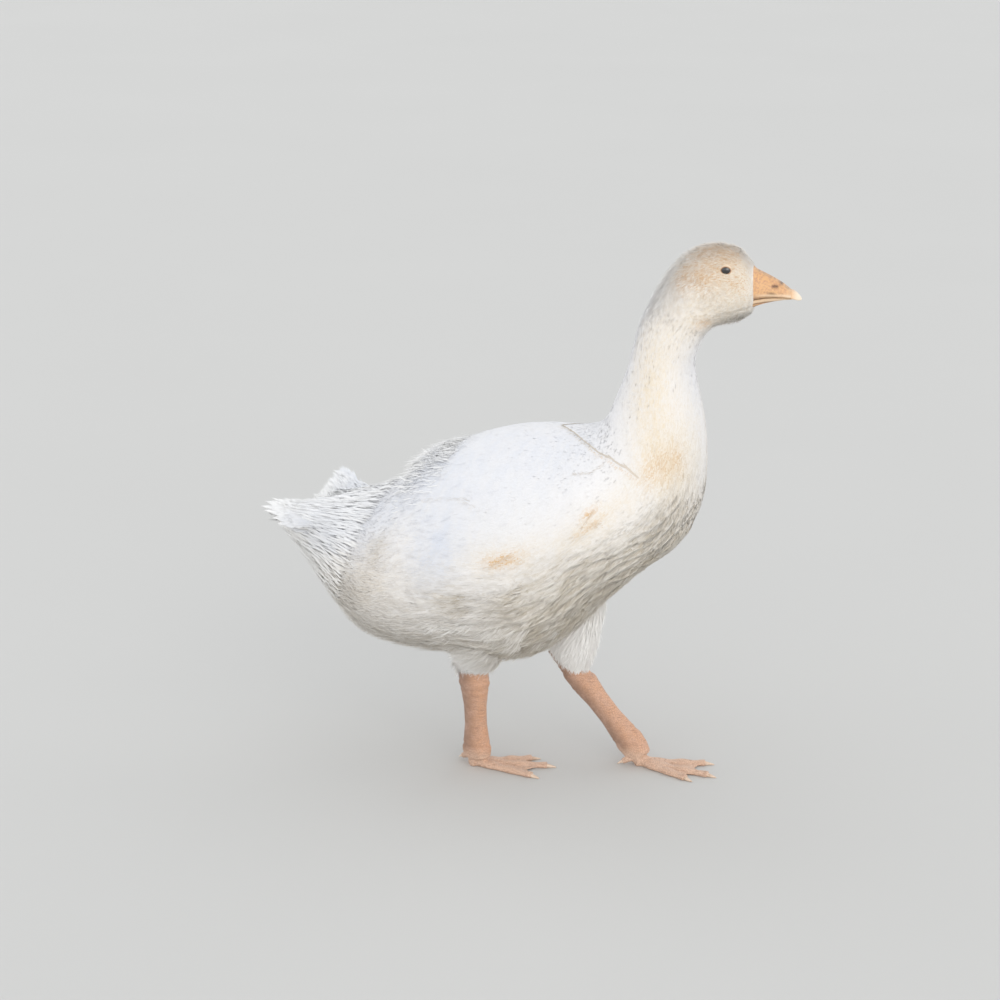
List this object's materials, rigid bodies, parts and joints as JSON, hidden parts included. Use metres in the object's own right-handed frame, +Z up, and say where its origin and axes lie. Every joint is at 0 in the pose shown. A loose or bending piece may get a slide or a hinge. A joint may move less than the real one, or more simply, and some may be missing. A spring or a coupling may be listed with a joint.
{
  "type": "embden gosling",
  "caption": "Young white goose with an orange bill and webbed feet, a still museum-like model caught in mid stride.",
  "frame": {"origin": "on the floor, under the middle of the bounding box", "axes": "+Z up, +X the way the bird faces, +Y its left"},
  "size_m": [0.5926, 0.2438, 0.6],
  "materials": {
    "plumage": "soft white feathers",
    "cream_down": "soft cream down",
    "bill_skin": "smooth, slightly moist orange skin",
    "leg_skin": "scaly matt orange-pink skin",
    "horn": "pale horn",
    "eye_black": "glossy near-black"
  },
  "bodies": {
    "root": {"torso": "plumage", "neck_lower": "cream_down", "neck_upper": "cream_down", "head": "cream_down", "tail": "plumage", "wing_right": "plumage", "wing_left": "plumage", "thigh_right": "plumage", "thigh_left": "plumage", "bill_upper": "bill_skin", "bill_lower": "bill_skin", "bill_nail": "horn", "eye_right": "eye_black", "eye_left": "eye_black", "shank_right": "leg_skin", "shank_left": "leg_skin", "foot_right": "leg_skin", "foot_left": "leg_skin", "claw_inner_right": "horn", "claw_middle_right": "horn", "claw_outer_right": "horn", "claw_hind_right": "horn", "claw_inner_left": "horn", "claw_middle_left": "horn", "claw_outer_left": "horn", "claw_hind_left": "horn"}
  },
  "joints": []
}
